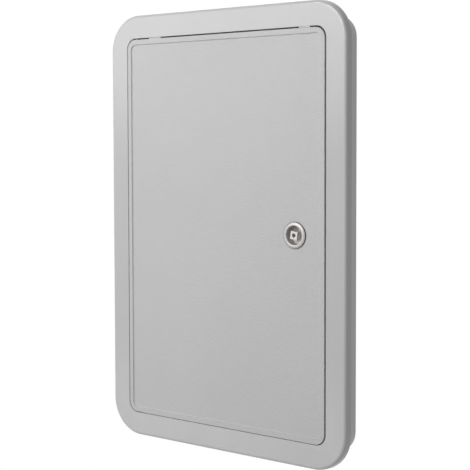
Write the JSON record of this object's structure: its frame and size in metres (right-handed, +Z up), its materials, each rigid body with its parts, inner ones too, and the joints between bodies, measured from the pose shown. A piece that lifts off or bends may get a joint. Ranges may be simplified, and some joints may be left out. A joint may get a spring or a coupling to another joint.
{
  "type": "access panel",
  "caption": "Flush moulded access panel: a round-cornered frame with a collar behind it, a side-hung door and a quarter-turn lock for a square key.",
  "frame": {"origin": "the middle of the panel on the plane of the wall surface that the bezel's rim lies on", "axes": "+X to the right and +Z up as the panel is seen from the front, +Y into the wall"},
  "size_m": [0.306, 0.0368, 0.452],
  "materials": {
    "frame_plastic": "smooth satin moulding, light neutral grey",
    "door_plastic": "finely grained moulding, light neutral grey",
    "seal_rubber": "matt black",
    "acetal": "black, self-coloured",
    "steel": "drawn",
    "lock_nickel": "satin nickel plate",
    "rotor_zinc": "nickel-plated die casting, bright on the post and dull in the recess",
    "zinc_steel": "bright zinc plate"
  },
  "bodies": {
    "frame": {"frame": "frame_plastic", "door_seal": "seal_rubber", "hinge_washers": "acetal"},
    "door": {"door_panel": "door_plastic", "hinge_pin_upper": "steel", "hinge_pin_lower": "steel", "lock_housing": "lock_nickel", "lock_gasket": "seal_rubber", "lock_washer": "zinc_steel", "lock_nut": "zinc_steel"},
    "rotor": {"lock_rotor": "rotor_zinc", "rotor_o_ring": "seal_rubber", "stop_washer": "zinc_steel", "lock_cam": "zinc_steel", "cam_washer": "zinc_steel", "cam_screw": "zinc_steel"}
  },
  "joints": [
    {"name": "door_hinge", "type": "hinge", "parent": "frame", "child": "door", "pos_m": [-0.1176, -0.0045, 0], "axis": [0, 0, -1], "range_deg": [0, 90]},
    {"name": "lock_turn", "type": "hinge", "parent": "door", "child": "rotor", "pos_m": [0.092, 0, 0.0006], "axis": [0, 1, 0], "range_deg": [-8, 82]}
  ]
}
